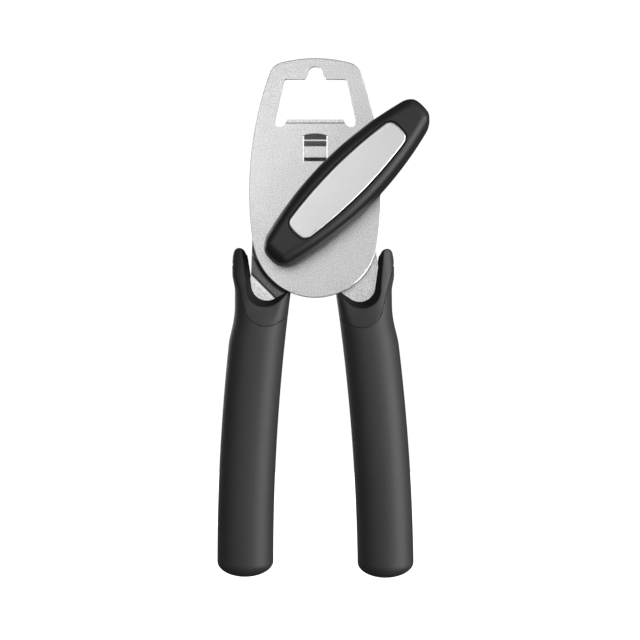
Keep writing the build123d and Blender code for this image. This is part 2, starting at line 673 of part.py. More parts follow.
def drive_shaft():
    """Shaft between knob and feed wheel: round in the bush, square at both ends."""
    shaft = disc(SHAFT_AT, SHAFT_RADIUS, KNOB_REAR, FEED_FRONT)
    shaft += slab(drive_square(), SCREW_HEAD_BACK, KNOB_REAR)
    shaft += slab(drive_square(), FEED_FRONT, FEED_BACK)
    shaft += disc(SHAFT_AT, STUD_RADIUS, FEED_BACK, FEED_BACK + NUT_THICK + 0.4)
    return shaft - disc(SHAFT_AT, SCREW_RADIUS, SCREW_HEAD_BACK - 1, SCREW_HEAD_BACK + SCREW_LENGTH)


def feed_wheel():
    """Toothed wheel that grips the can's rim."""
    points = []
    for tooth in range(FEED_TEETH):
        for part, radius in ((0.0, FEED_RADIUS), (0.22, FEED_RADIUS), (0.6, FEED_RADIUS - FEED_TOOTH_DEPTH)):
            turn = radians(360 * (tooth + part) / FEED_TEETH)
            points.append((SHAFT_X + radius * cos(turn), SHAFT_Z + radius * sin(turn)))
    return slab(outline(*points) - drive_square(), FEED_FRONT, FEED_BACK)


def feed_washer():
    """Thrust washer between the right arm and the feed wheel."""
    washer = disc(SHAFT_AT, SHAFT_RADIUS + FEED_WASHER_WIDTH, WASHER_FRONT, FEED_FRONT)
    return washer - disc(SHAFT_AT, SHAFT_RADIUS, WASHER_FRONT - 1, FEED_FRONT + 1)


def feed_nut():
    """Hexagon nut that holds the feed wheel on the shaft."""
    sketch = Pos(*SHAFT_AT) * (RegularPolygon(NUT_FLATS / 2, 6, major_radius=False) - Circle(STUD_RADIUS))
    return slab(sketch, FEED_BACK, FEED_BACK + NUT_THICK)


# ---------------------------------------------------------------- knob
def knob_outline(inset=0.0):
    """Front outline of the knob, smaller all round by inset."""
    sketch = bowed_bar(KNOB_LENGTH - 2 * inset, KNOB_HALF_WIDTH - inset, KNOB_SIDE_RADIUS,
                       KNOB_END_RADIUS - inset, KNOB_CORNER_RADIUS - inset)
    return on_knob(sketch)


def inlay_outline():
    """Front outline of the steel inlay."""
    sketch = bowed_bar(INLAY_LENGTH, INLAY_HALF_WIDTH, INLAY_SIDE_RADIUS,
                       INLAY_END_RADIUS, INLAY_CORNER_RADIUS)
    return on_knob(sketch)


def knob_grip():
    """Outer cover of the knob, open at the back for the core and pocketed for the inlay."""
    plane = Plane(origin=(0, KNOB_REAR, 0), x_dir=(1, 0, 0), z_dir=(0, -1, 0))
    cover = extrude(plane * knob_outline(), amount=KNOB_REAR - KNOB_FRONT, taper=KNOB_DRAFT)
    by_depth = cover.faces().sort_by(Axis.Y)
    cover = fillet(by_depth[0].edges(), KNOB_FRONT_FILLET)
    cover = fillet(cover.faces().sort_by(Axis.Y)[-1].edges(), KNOB_REAR_FILLET)
    cover -= slab(knob_outline(KNOB_WALL), KNOB_CORE_FRONT, KNOB_REAR + 1)
    return cover - slab(inlay_outline(), KNOB_FRONT - 1, KNOB_FRONT + INLAY_THICK - INLAY_PROUD)


def knob_body():
    """Hard core of the knob with its hub, square socket and screw seat."""
    core = slab(knob_outline(KNOB_WALL), KNOB_CORE_FRONT, KNOB_REAR)
    core += disc(SHAFT_AT, KNOB_HUB_RADIUS, KNOB_REAR - 1, HUB_REAR)
    core -= disc(SHAFT_AT, SHAFT_RADIUS, KNOB_REAR, HUB_REAR + 1)
    core -= slab(drive_square(), KNOB_CORE_FRONT - 1, KNOB_REAR + 1)
    return core - disc(SHAFT_AT, SCREW_HEAD_RADIUS, KNOB_CORE_FRONT - 1, SCREW_HEAD_BACK)


def knob_inlay():
    """Steel inlay with bevelled edges, set in the knob's front."""
    front = KNOB_FRONT - INLAY_PROUD
    inlay = slab(inlay_outline(), front, front + INLAY_THICK)
    return chamfer(inlay.faces().sort_by(Axis.Y)[0].edges(), INLAY_BEVEL)


def knob_screw():
    """Screw under the inlay that holds the knob on the shaft."""
    head = disc(SHAFT_AT, SCREW_HEAD_RADIUS, SCREW_HEAD_BACK - SCREW_HEAD_THICK, SCREW_HEAD_BACK)
    shank = disc(SHAFT_AT, SCREW_RADIUS, SCREW_HEAD_BACK, SCREW_HEAD_BACK + SCREW_LENGTH - 0.5)
    socket = Pos(*SHAFT_AT) * RegularPolygon(SCREW_RADIUS, 6)
    seat = SCREW_HEAD_BACK - SCREW_HEAD_THICK
    return head + shank - slab(socket, seat - 1, seat + SCREW_HEAD_THICK / 2)


def spring_washer():
    """Dished washer that takes up the end play between knob and bush."""
    bore = SHAFT_RADIUS + RUNNING_CLEARANCE
    rim = KNOB_HUB_RADIUS - SPRING_INSET
    front, back = HUB_REAR + SPRING_SEAT, RING_FRONT - END_CLEARANCE
    points = [(bore, front), (bore, front + SPRING_THICK), (rim, back), (rim, back - SPRING_THICK)]
    return turned(SHAFT_AT, points)


# ---------------------------------------------------------------- build
def build():
    """All sub-parts by name."""
    parts = {
        "head_plate": head_plate(),
        "left_arm": left_arm(),
        "plate_rivets": plate_rivets(),
        "cutter_axle": cutter_axle(),
        "cutter_spacer": cutter_spacer(),
        "cutter_washer": cutter_washer(),
        "cutter_wheel": cutter_wheel(),
        "cutter_bushing": cutter_bushing(),
        "right_arm": right_arm(),
        "eccentric_bush": eccentric_bush(),
        "bush_ring": bush_ring(),
        "drive_shaft": drive_shaft(),
        "feed_washer": feed_washer(),
        "feed_wheel": feed_wheel(),
        "feed_nut": feed_nut(),
        "spring_washer": spring_washer(),
        "knob_body": knob_body(),
        "knob_grip": knob_grip(),
        "knob_inlay": knob_inlay(),
        "knob_screw": knob_screw(),
    }
    core, skin = grip_pieces()
    parts["left_grip_core"] = mirror(core, about=Plane.YZ) - parts["left_arm"]
    parts["left_grip_skin"] = mirror(skin, about=Plane.YZ)
    parts["right_grip_core"] = lean(core) - parts["right_arm"]
    parts["right_grip_skin"] = lean(skin)
    return parts


os.makedirs("parts", exist_ok=True)
for name, part in build().items():
    export_step(part, f"parts/{name}.step")
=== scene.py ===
"""Manual can opener: looks, studio and camera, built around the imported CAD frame.

Lengths of the soft-shaped pieces are worked out in millimetres, as on a workshop drawing, and turned
into metres where a mesh is made. +X is right, +Y is the back of the tool, +Z is up.
"""

from __future__ import annotations

import logging
import math
from dataclasses import dataclass, field, replace
from enum import Enum
from itertools import product
from typing import Callable, Sequence

import bpy
import numpy as np
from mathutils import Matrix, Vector

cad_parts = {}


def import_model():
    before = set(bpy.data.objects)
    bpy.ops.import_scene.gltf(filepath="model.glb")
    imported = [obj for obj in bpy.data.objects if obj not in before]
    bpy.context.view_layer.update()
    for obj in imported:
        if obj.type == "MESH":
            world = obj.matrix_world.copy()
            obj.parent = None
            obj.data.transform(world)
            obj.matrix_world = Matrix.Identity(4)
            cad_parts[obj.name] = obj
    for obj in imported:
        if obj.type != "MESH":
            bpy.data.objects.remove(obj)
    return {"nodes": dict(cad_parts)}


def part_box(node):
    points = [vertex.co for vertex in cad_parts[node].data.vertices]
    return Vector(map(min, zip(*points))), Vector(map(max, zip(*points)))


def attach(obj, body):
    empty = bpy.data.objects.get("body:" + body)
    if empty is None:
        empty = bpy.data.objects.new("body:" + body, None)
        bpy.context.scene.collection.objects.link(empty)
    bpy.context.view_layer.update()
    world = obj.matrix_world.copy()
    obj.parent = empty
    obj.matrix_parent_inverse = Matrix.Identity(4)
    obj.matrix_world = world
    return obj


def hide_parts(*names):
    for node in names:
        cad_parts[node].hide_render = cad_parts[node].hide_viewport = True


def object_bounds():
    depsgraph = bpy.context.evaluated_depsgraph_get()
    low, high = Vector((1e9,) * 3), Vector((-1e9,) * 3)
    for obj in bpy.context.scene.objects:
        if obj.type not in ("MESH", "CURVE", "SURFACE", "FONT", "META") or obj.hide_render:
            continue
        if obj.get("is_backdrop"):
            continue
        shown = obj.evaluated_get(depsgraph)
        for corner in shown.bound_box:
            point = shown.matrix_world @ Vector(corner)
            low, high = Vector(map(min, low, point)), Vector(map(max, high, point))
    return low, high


LOG = logging.getLogger("can_opener")
MM = 0.001
FRONT_STEEPNESS = 5.0  # how fast a shading that is limited to the front fades on turned faces

Point = tuple[float, float, float]
Samples = np.ndarray
Field = Callable[[Samples, Samples, Samples], Samples]


# ---- Shader building ----


class Value:
    """A number that varies over a surface: one output socket with arithmetic."""

    def __init__(self, graph: "Graph", socket: bpy.types.NodeSocket) -> None:
        """Wraps a socket.

        Args:
            graph: The node graph that new maths nodes go into.
            socket: The output socket that holds the number.
        """
        self.graph = graph
        self.socket = socket

    def _maths(self, operation: str, *operands: "Value | float") -> "Value":
        """Adds one Math node.

        Args:
            operation: The Math node's operation.
            operands: Its inputs in order.

        Returns:
            The result as a new value.
        """
        node = self.graph.add("ShaderNodeMath", {"operation": operation}, dict(enumerate(operands)))
        return Value(self.graph, node.outputs[0])

    def __add__(self, other: "Value | float") -> "Value":
        """Sum."""
        return self._maths("ADD", self, other)

    __radd__ = __add__

    def __mul__(self, other: "Value | float") -> "Value":
        """Product."""
        return self._maths("MULTIPLY", self, other)

    __rmul__ = __mul__

    def __sub__(self, other: "Value | float") -> "Value":
        """Difference."""
        return self._maths("SUBTRACT", self, other)

    def __rsub__(self, other: float) -> "Value":
        """Difference from a number."""
        return self._maths("SUBTRACT", other, self)

    def sine(self) -> "Value":
        """Sine of the value in radians."""
        return self._maths("SINE", self)

    def clamped(self) -> "Value":
        """The value limited to 0 to 1."""
        low = self._maths("MAXIMUM", self, 0.0)
        return low._maths("MINIMUM", low, 1.0)

    def between(self, low: float, high: float) -> "Value":
        """The value, 0 to 1, stretched to a new range.

        Args:
            low: Result at 0.
            high: Result at 1.

        Returns:
            The stretched value.
        """
        return self * (high - low) + low


class Graph:
    """The node graph of one material, built from code."""

    def __init__(self, name: str) -> None:
        """Starts a material with only a shader and an output.

        Args:
            name: The material's name.
        """
        self.material = bpy.data.materials.new(name)
        self.material.use_nodes = True
        self.tree = self.material.node_tree
        self.tree.nodes.clear()
        self.shader = self.add("ShaderNodeBsdfPrincipled")
        self.output = self.add("ShaderNodeOutputMaterial")
        self.tree.links.new(self.shader.outputs["BSDF"], self.output.inputs["Surface"])

    def add(
        self,
        kind: str,
        settings: dict[str, object] | None = None,
        inputs: dict[str | int, object] | None = None,
    ) -> bpy.types.Node:
        """Adds a node.

        Args:
            kind: The node's type name.
            settings: Its own properties, set before its sockets.
            inputs: Numbers, colours, sockets or values for its sockets, by name or place.

        Returns:
            The new node.
        """
        node = self.tree.nodes.new(kind)
        for name, value in (settings or {}).items():
            setattr(node, name, value)
        for key, value in (inputs or {}).items():
            self.feed(node.inputs[key], value)
        return node

    def feed(self, socket: bpy.types.NodeSocket, value: object) -> None:
        """Links a socket or a value into an input, or sets its number.

        Args:
            socket: The input.
            value: What it gets.
        """
        if isinstance(value, Value):
            value = value.socket
        if isinstance(value, bpy.types.NodeSocket):
            self.tree.links.new(value, socket)
        else:
            socket.default_value = value

    def place(self) -> bpy.types.NodeSocket:
        """Position on the piece at rest, in metres."""
        return self.add("ShaderNodeTexCoord").outputs["Object"]

    def vector(self, operation: str, first: object, second: object = None) -> bpy.types.Node:
        """Adds one Vector Math node.

        Args:
            operation: The node's operation.
            first: Its first input.
            second: Its second input, where the operation has one.

        Returns:
            The new node.
        """
        inputs = {0: first} if second is None else {0: first, 1: second}
        return self.add("ShaderNodeVectorMath", {"operation": operation}, inputs)

    def noise(self, place: bpy.types.NodeSocket, size_mm: float, detail: float = 3.0) -> Value:
        """Cloudy noise, 0 to 1.

        Args:
            place: A position in metres.
            size_mm: The size of one cloud in millimetres.
            detail: How many finer octaves it has.

        Returns:
            The noise.
        """
        inputs = {"Vector": place, "Scale": 1.0 / (size_mm * MM), "Detail": detail}
        return Value(self, self.add("ShaderNodeTexNoise", None, inputs).outputs["Fac"])

    def cells(self, place: bpy.types.NodeSocket, size_mm: float) -> Value:
        """Distance to the nearest of scattered points: small dimples.

        Args:
            place: A position in metres.
            size_mm: The spacing of the points in millimetres.

        Returns:
            The distance, about 0 to 1.
        """
        inputs = {"Vector": place, "Scale": 1.0 / (size_mm * MM)}
        return Value(self, self.add("ShaderNodeTexVoronoi", None, inputs).outputs["Distance"])

    def axis_distance(self, place: bpy.types.NodeSocket, centre: tuple[float, float]) -> Value:
        """Distance in millimetres from a line along Y.

        Args:
            place: A position in metres.
            centre: The line's x and z in metres.

        Returns:
            The distance in millimetres.
        """
        moved = self.vector("SUBTRACT", place, (centre[0], 0.0, centre[1]))
        flat = self.vector("MULTIPLY", moved.outputs["Vector"], (1.0, 0.0, 1.0))
        length = self.vector("LENGTH", flat.outputs["Vector"])
        return Value(self, length.outputs["Value"]) * (1.0 / MM)

    def mixed(self, share: Value, low: Sequence[float], high: Sequence[float]) -> bpy.types.NodeSocket:
        """Colour between two colours.

        Args:
            share: 0 for the first colour, 1 for the second.
            low: First colour.
            high: Second colour.

        Returns:
            The mixed colour's socket.
        """
        node = self.add("ShaderNodeMix", {"data_type": "RGBA"})
        self.feed(node.inputs["Factor"], share)
        colours = [socket for socket in node.inputs if socket.type == "RGBA"]
        for socket, colour in zip(colours, (low, high)):
            socket.default_value = (*colour, 1.0)
        return next(socket for socket in node.outputs if socket.type == "RGBA")

    def frontness(self) -> Value:
        """Whether a face is turned to the front.

        Returns:
            1 on faces turned to the front, 0 on faces turned to the back, with a soft change between.
        """
        normal = self.add("ShaderNodeNewGeometry").outputs["Normal"]
        ahead = self.vector("DOT_PRODUCT", normal, (0.0, -1.0, 0.0))
        return (Value(self, ahead.outputs["Value"]) * FRONT_STEEPNESS).clamped()

    def overlay(self, share: Value, **inputs: object) -> None:
        """Covers part of the surface with a second, plain finish.

        Args:
            share: 1 where the second finish shows.
            inputs: Its shader's inputs, named with underscores for spaces.
        """
        second = self.add("ShaderNodeBsdfPrincipled")
        for name, value in inputs.items():
            self.feed(second.inputs[name.replace("_", " ")], value)
        shaders = {1: self.shader.outputs["BSDF"], 2: second.outputs["BSDF"]}
        blend = self.add("ShaderNodeMixShader", None, {0: share, **shaders})
        self.tree.links.new(blend.outputs["Shader"], self.output.inputs["Surface"])

    def attribute(self, name: str) -> Value:
        """A number stored on the mesh's points."""
        return Value(self, self.add("ShaderNodeAttribute", {"attribute_name": name}).outputs["Fac"])

    def bump(self, height: Value, depth_mm: float) -> None:
        """Raises the surface's shading by a height, 0 to 1.

        Args:
            height: The height.
            depth_mm: The height of 1, in millimetres.
        """
        inputs = {"Height": height, "Distance": depth_mm * MM, "Strength": 1.0}
        node = self.add("ShaderNodeBump", None, inputs)
        self.feed(self.shader.inputs["Normal"], node.outputs["Normal"])

    def set(self, **inputs: object) -> None:
        """Sets the shader's inputs, named with underscores for spaces."""
        for name, value in inputs.items():
            self.feed(self.shader.inputs[name.replace("_", " ")], value)


# ---- Finishes ----


def grey(level: float) -> tuple[float, float, float]:
    """A neutral colour."""
    return (level, level, level)


@dataclass(frozen=True)
class PaintedShadowRing:
    """A painted shadow: a darkened ring round an axis along Y, on faces turned to the front."""

    centre: tuple[float, float]
    radius: float
    width: float
    depth: float

    def shade(self, graph: Graph, place: bpy.types.NodeSocket) -> Value:
        """Multiplier of the colour that paints the shadow: 1 away from the line.

        Args:
            graph: The graph that it is added to.
            place: A position in metres.

        Returns:
            The multiplier.
        """
        offset = graph.axis_distance(place, self.centre) - self.radius
        near = (1.0 - (offset * offset) * (1.0 / self.width**2)).clamped()
        return 1.0 - near * graph.frontness() * self.depth


@dataclass(frozen=True)
class PaintedLightStripe:
    """A band along a straight line in the front view that changes the colour's level: painted shade where
    the level is below 1, painted highlight where it is above 1.

    The line lies at a distance from the origin, in a direction given by its angle from +X.
    """

    angle: float
    distance: float
    half_width: float
    level: float

    def shade(self, graph: Graph, place: bpy.types.NodeSocket) -> Value:
        """Multiplier of the colour: 1 away from the band, below 1 for painted shade, above 1 for painted
        highlight.

        Args:
            graph: The graph that it is added to.
            place: A position in metres.

        Returns:
            The multiplier.
        """
        direction = (math.cos(math.radians(self.angle)), 0.0, math.sin(math.radians(self.angle)))
        along = graph.vector("DOT_PRODUCT", place, direction)
        offset = Value(graph, along.outputs["Value"]) * (1.0 / MM) - self.distance
        near = (1.0 - (offset * offset) * (1.0 / self.half_width**2)).clamped()
        return 1.0 + near * graph.frontness() * (self.level - 1.0)


@dataclass(frozen=True)
class BlastedSteel:
    """Stainless sheet, bead-blasted: an even satin with a fine sparkling grain."""

    name: str
    level: float = 0.78
    roughness: float = 0.37
    grain_mm: float = 0.36
    cloud_mm: float = 14.0
    depth_mm: float = 0.05
    speck: float = 0.45
    wear: float = 0.07
    brightest: float = 0.98
    # painted shade and painted highlight lines, where given
    lines: tuple[PaintedShadowRing | PaintedLightStripe, ...] = ()

    def build(self) -> bpy.types.Material:
        """Makes the material.

        Returns:
            The material.
        """
        graph = Graph(self.name)
        place = graph.place()
        grain = graph.noise(place, self.grain_mm, 2.0)
        speckle = graph.cells(place, self.grain_mm * 0.8)
        cloud = graph.noise(place, self.cloud_mm, 2.0)
        tone = ((grain - 0.5) * 2.0 + 0.35 + cloud * 0.3).clamped()
        tone = tone.between(self.level * (1.0 - self.speck), self.level * (1.0 + self.speck))
        # the lines paint shade and highlight into the colour
        for line in self.lines:
            tone = tone * line.shade(graph, place)
        low, high = self.roughness - self.wear, self.roughness + self.wear
        rough = (grain * 0.5 + cloud * 0.5).between(low, high)
        colour = graph.mixed(tone.clamped(), grey(0.0), grey(self.brightest))
        graph.set(Base_Color=colour, Metallic=1.0, Roughness=rough)
        graph.bump(grain * 0.7 + speckle * 0.5, self.depth_mm)
        return graph.material


@dataclass(frozen=True)
class TurnedSteel:
    """Steel turned or ground on a lathe: fine rings about an axis."""

    name: str
    centre: tuple[float, float]
    level: float = 0.56
    roughness: float = 0.28
    ring_mm: float = 0.22
    wander_mm: float = 0.12
    depth_mm: float = 0.006
    wear: float = 0.08

    def build(self) -> bpy.types.Material:
        """Makes the material.

        Returns:
            The material.
        """
        graph = Graph(self.name)
        place = graph.place()
        radius = graph.axis_distance(place, self.centre)
        wander = graph.noise(place, 1.2, 3.0)
        turns = (radius + wander * self.wander_mm) * (2.0 * math.pi / self.ring_mm)
        rings = turns.sine().between(0.5, 1.0)
        smear = graph.noise(place, 5.0, 3.0)
        colour = graph.mixed(smear, grey(self.level * 0.88), grey(self.level * 1.08))
        low, high = self.roughness - self.wear, self.roughness + self.wear
        rough = (rings * 0.4 + smear * 0.6).between(low, high)
        graph.set(Base_Color=colour, Metallic=1.0, Roughness=rough)
        graph.bump(rings * 0.7 + wander * 0.3, self.depth_mm)
        return graph.material


@dataclass(frozen=True)
class PlatedSteel:
    """Small plated fasteners: bright, with faint handling marks."""

    name: str
    level: float = 0.62
    roughness: float = 0.24
    wear: float = 0.14
    pit_mm: float = 0.25
    depth_mm: float = 0.006

    def build(self) -> bpy.types.Material:
        """Makes the material.

        Returns:
            The material.
        """
        graph = Graph(self.name)
        place = graph.place()
        cloud = graph.noise(place, 1.6, 4.0)
        pits = graph.noise(place, self.pit_mm, 3.0)
        colour = graph.mixed(cloud, grey(self.level * 0.9), grey(self.level * 1.05))
        rough = cloud.between(self.roughness, self.roughness + self.wear)
        graph.set(Base_Color=colour, Metallic=1.0, Roughness=rough)
        graph.bump(pits, self.depth_mm)
        return graph.material


@dataclass(frozen=True)
class SinteredBronze:
    """Oil-filled sintered bronze with open pores."""

    name: str
    dark: Point = (0.42, 0.26, 0.12)
    bright: Point = (0.60, 0.40, 0.20)
    smoothest: float = 0.36
    roughest: float = 0.52
    pore_mm: float = 0.22
    depth_mm: float = 0.02

    def build(self) -> bpy.types.Material:
        """Makes the material.

        Returns:
            The material.
        """
        graph = Graph(self.name)
        place = graph.place()
        pores = graph.cells(place, self.pore_mm)
        cloud = graph.noise(place, 1.5, 3.0)
        rough = cloud.between(self.smoothest, self.roughest)
        graph.set(Base_Color=graph.mixed(cloud, self.dark, self.bright), Metallic=1.0, Roughness=rough)
        graph.bump(pores, self.depth_mm)
        return graph.material


@dataclass(frozen=True)
class MouldedBlack:
    """Black moulded plastic or soft-touch skin with a fine spark-eroded grain.

    Where the mesh carries a "mask", the masked faces may be given a second, matt finish with a darker
    colour; the darker colour is painted shade, the matt roughness and low specular are the finish's own.
    """

    name: str
    level: float = 0.017
    roughness: float = 0.50
    grain_mm: float = 0.26
    depth_mm: float = 0.010
    specular: float = 0.5
    wear: float = 0.06
    evenness: float = 0.67
    # darker colour of the masked faces: painted shade
    masked_shade_level: float | None = None
    masked_roughness: float = 0.9
    masked_specular: float = 0.08

    def build(self) -> bpy.types.Material:
        """Makes the material.

        Returns:
            The material.
        """
        graph = Graph(self.name)
        place = graph.place()
        grain = graph.noise(place, self.grain_mm, 3.0)
        pits = graph.cells(place, self.grain_mm * 1.3)
        cloud = graph.noise(place, 16.0, 3.0)
        tone = (grain * 0.5 + cloud * 0.5).clamped().between(self.evenness, 1.0)
        colour = graph.mixed(tone, grey(0.0), grey(self.level * 1.2))
        low, high = self.roughness - self.wear, self.roughness + self.wear
        rough = (grain * 0.4 + cloud * 0.6).between(low, high)
        graph.set(Base_Color=colour, Roughness=rough, Specular_IOR_Level=self.specular)
        graph.bump(grain * 0.6 + pits * 0.5, self.depth_mm)
        if self.masked_shade_level is not None:
            # masked yoke walls: darker colour is painted shade, matt roughness and low specular are the
            # finish
            graph.overlay(
                graph.attribute("mask"),
                Base_Color=graph.mixed(tone, grey(0.0), grey(self.masked_shade_level)),
                Roughness=self.masked_roughness,
                Specular_IOR_Level=self.masked_specular,
            )
        return graph.material


# ---- Solid fields: shapes given by a signed distance, in millimetres, negative inside ----


def smooth_max(first: Samples, second: Samples, radius: float) -> Samples:
    """Intersection of two fields with a rounded edge.

    Args:
        first: One field.
        second: The other field.
        radius: How far from the edge the rounding reaches, in millimetres.

    Returns:
        The combined field.
    """
    overlap = np.maximum(radius - np.abs(first - second), 0.0)
    return np.maximum(first, second) + overlap * overlap / (4.0 * radius)


def rounded_max(first: Samples, second: Samples, radius: float) -> Samples:
    """Intersection of two fields with a circular edge.

    Args:
        first: One field.
        second: The other field.
        radius: The edge's radius in millimetres.

    Returns:
        The combined field.
    """
    outer = np.hypot(np.maximum(first + radius, 0.0), np.maximum(second + radius, 0.0))
    return np.minimum(np.maximum(first, second), -radius) + outer


def ramp(value: Samples, low: float, high: float) -> Samples:
    """Smooth step from 0 at low to 1 at high.

    Args:
        value: Where it is taken.
        low: Start of the step.
        high: End of the step.

    Returns:
        The share, 0 to 1.
    """
    share = np.clip((value - low) / (high - low), 0.0, 1.0)
    return share * share * (3.0 - 2.0 * share)


@dataclass(frozen=True)
class RoundedWedge:
    """Flat region above a round bottom whose two walls lean outwards, drawn in (x, z)."""

    x: float
    z: float
    radius: float
    left_lean: float
    right_lean: float

    def distance(self, x: Samples, z: Samples) -> Samples:
        """Signed distance to the region's edge, negative inside.

        Args:
            x: Places across.
            z: Places up.

        Returns:
            The distance.
        """
        across, up = x - self.x, z - self.z
        bottom = np.hypot(across, up) - self.radius
        sides = []
        for lean, hand in ((self.right_lean, 1.0), (self.left_lean, -1.0)):
            cos, sin = math.cos(math.radians(lean)), math.sin(math.radians(lean))
            wall = hand * cos * across - sin * up - self.radius
            along = hand * sin * across + cos * up
            sides.append(np.where(along > 0.0, wall, bottom))
        return np.where(across > 0.0, sides[0], sides[1])


@dataclass(frozen=True)
class BowedBar:
    """Long flat outline with bowed sides, bowed ends and round corners, centred on (0, 0)."""

    length: float
    half_width: float
    bow: float
    end_radius: float
    corner: float

    def distance(self, along: Samples, across: Samples) -> Samples:
        """Signed distance to the outline, negative inside.

        Args:
            along: Places along the bar.
            across: Places across it.

        Returns:
            The distance.
        """
        side_radius = (self.length**2 / 4.0 + self.bow**2) / (2.0 * self.bow)
        side = np.hypot(along, np.abs(across) + side_radius - self.half_width) - side_radius
        beyond = np.maximum(np.abs(along) - self.length / 2.0 + self.end_radius, 0.0)
        return rounded_max(side, np.hypot(beyond, across) - self.end_radius, self.corner)


@dataclass(frozen=True)
class SampleBox:
    """A block of space and the spacing of the grid that samples it, in millimetres."""

    low: Point
    high: Point
    spacing: Point

    def axes(self) -> list[Samples]:
        """The grid's coordinates along each axis."""
        return [np.arange(a, b + s, s) for a, b, s in zip(self.low, self.high, self.spacing)]


class FieldMesher:
    """Turns a field into a quad mesh by surface nets, then moves its points onto the true surface."""

    def __init__(self, solid: Field, box: SampleBox, mask: Field | None = None) -> None:
        """Keeps what is meshed.

        Args:
            solid: The field.
            box: The space that it is sampled in.
            mask: A share, 0 to 1, stored on the points as the mesh's "mask" attribute.
        """
        self.solid = solid
        self.box = box
        self.mask = mask

    def mesh(self, name: str, move: Callable[[Samples], Samples]) -> bpy.types.Mesh:
        """Builds the mesh in metres.

        Args:
            name: The mesh's name.
            move: Places the points, an array of rows in millimetres, in the row frame. A move that
                mirrors them turns the faces inside out, so the faces are turned back.

        Returns:
            The mesh, smooth shaded with the field's own normals.
        """
        points, quads = self._net()
        points = self._settled(points)
        normals = self._slopes(points)
        placed = move(points)
        placed_normals = move(points + normals) - placed
        mirrored = np.linalg.det(move(np.eye(3)) - move(np.zeros((1, 3)))) < 0.0
        if mirrored:
            quads = quads[:, ::-1]
        mesh = bpy.data.meshes.new(name)
        mesh.from_pydata((placed * MM).tolist(), [], quads.tolist())
        mesh.update()
        mesh.shade_smooth()
        mesh.normals_split_custom_set_from_vertices(placed_normals.tolist())
        if self.mask is not None:
            share = mesh.attributes.new("mask", "FLOAT", "POINT")
            share.data.foreach_set("value", self.mask(*points.T).astype(np.float32))
        return mesh

    def _net(self) -> tuple[Samples, Samples]:
        """Surface net of the field.

        Returns:
            The points in millimetres and the quads as rows of four point numbers.
        """
        xs, ys, zs = self.box.axes()
        values = self.solid(xs[:, None, None], ys[None, :, None], zs[None, None, :])
        values = np.ascontiguousarray(np.broadcast_to(values, (len(xs), len(ys), len(zs))))
        shape = tuple(n - 1 for n in values.shape)
        total = np.zeros((*shape, 3))
        count = np.zeros(shape)
        for axis in range(3):
            others = [n for n in range(3) if n != axis]
            for side in product((0, 1), repeat=2):
                start = [0, 0, 0]
                start[others[0]], start[others[1]] = side
                near = tuple(slice(s, s + n) for s, n in zip(start, shape))
                start[axis] = 1
                far = tuple(slice(s, s + n) for s, n in zip(start, shape))
                a, b = values[near], values[far]
                cross = (a < 0.0) != (b < 0.0)
                share = np.where(cross, a / np.where(cross, a - b, 1.0), 0.0)
                count += cross
                total[..., axis] += np.where(cross, share, 0.0)
                for other, offset in zip(others, side):
                    total[..., other] += cross * offset
        active = count > 0
        number = np.full(shape, -1, np.int64)
        number[active] = np.arange(int(active.sum()))
        index = np.argwhere(active)
        local = total[active] / count[active][:, None]
        low = np.array([axis[0] for axis in (xs, ys, zs)])
        points = low + (index + local) * np.array(self.box.spacing)
        return points, self._quads(values, number)

    @staticmethod
    def _quads(values: Samples, number: Samples) -> Samples:
        """Quads of a surface net, one for each grid edge that crosses the surface.

        Args:
            values: The sampled field.
            number: Each cell's point number, or -1.

        Returns:
            Rows of four point numbers, turned outwards.
        """
        found = []
        for axis in range(3):
            first, second = [(1, 2), (2, 0), (0, 1)][axis]
            inner = [slice(1, -1)] * 3
            inner[axis] = slice(0, -1)
            ahead = list(inner)
            ahead[axis] = slice(1, None)
            a, b = values[tuple(inner)], values[tuple(ahead)]
            cells = np.argwhere((a < 0.0) != (b < 0.0))
            leaves = (a < 0.0)[tuple(cells.T)]
            base = cells + [0 if n == axis else 1 for n in range(3)]
            around = []
            for da, db in ((0, 0), (-1, 0), (-1, -1), (0, -1)):
                cell = base.copy()
                cell[:, first] += da
                cell[:, second] += db
                around.append(number[tuple(cell.T)])
            quad = np.stack(around, axis=1)
            quad[~leaves] = quad[~leaves][:, ::-1]
            found.append(quad)
        return np.concatenate(found)

    def _slopes(self, points: Samples, reach: float = 0.05) -> Samples:
        """Outward unit normals of the field.

        Args:
            points: Rows of places in millimetres.
            reach: Half the distance that the slope is taken over.

        Returns:
            Rows of unit vectors.
        """
        slopes = np.empty_like(points)
        for axis in range(3):
            step = np.zeros(3)
            step[axis] = reach
            ahead, behind = (points + step).T, (points - step).T
            slopes[:, axis] = self.solid(*ahead) - self.solid(*behind)
        return slopes / np.maximum(np.linalg.norm(slopes, axis=1, keepdims=True), 1e-9)

    def _settled(self, points: Samples, rounds: int = 3) -> Samples:
        """Points moved onto the field's surface.

        Args:
            points: Rows of places in millimetres.
            rounds: How many times they are moved.

        Returns:
            The moved points.
        """
        limit = 0.5 * min(self.box.spacing)
        for _ in range(rounds):
            gap = np.clip(self.solid(*points.T), -limit, limit)
            points = points - self._slopes(points) * gap[:, None]
        return points


# ---- Sub-assemblies ----


def add_piece(
    mesh: bpy.types.Mesh, body: str, slot: str, finish: bpy.types.Material, *nodes: str
) -> bpy.types.Object:
    """Adds a piece to the scene, on a body, in place of CAD nodes.

    Args:
        mesh: Its mesh, in metres in the row frame.
        body: The body that it moves with.
        slot: Not used.
        finish: Its material.
        nodes: The CAD nodes that it stands for.

    Returns:
        The new object.
    """
    piece = bpy.data.objects.new(mesh.name, mesh)
    bpy.context.scene.collection.objects.link(piece)
    mesh.materials.append(finish)
    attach(piece, body)
    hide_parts(*nodes)
    return piece


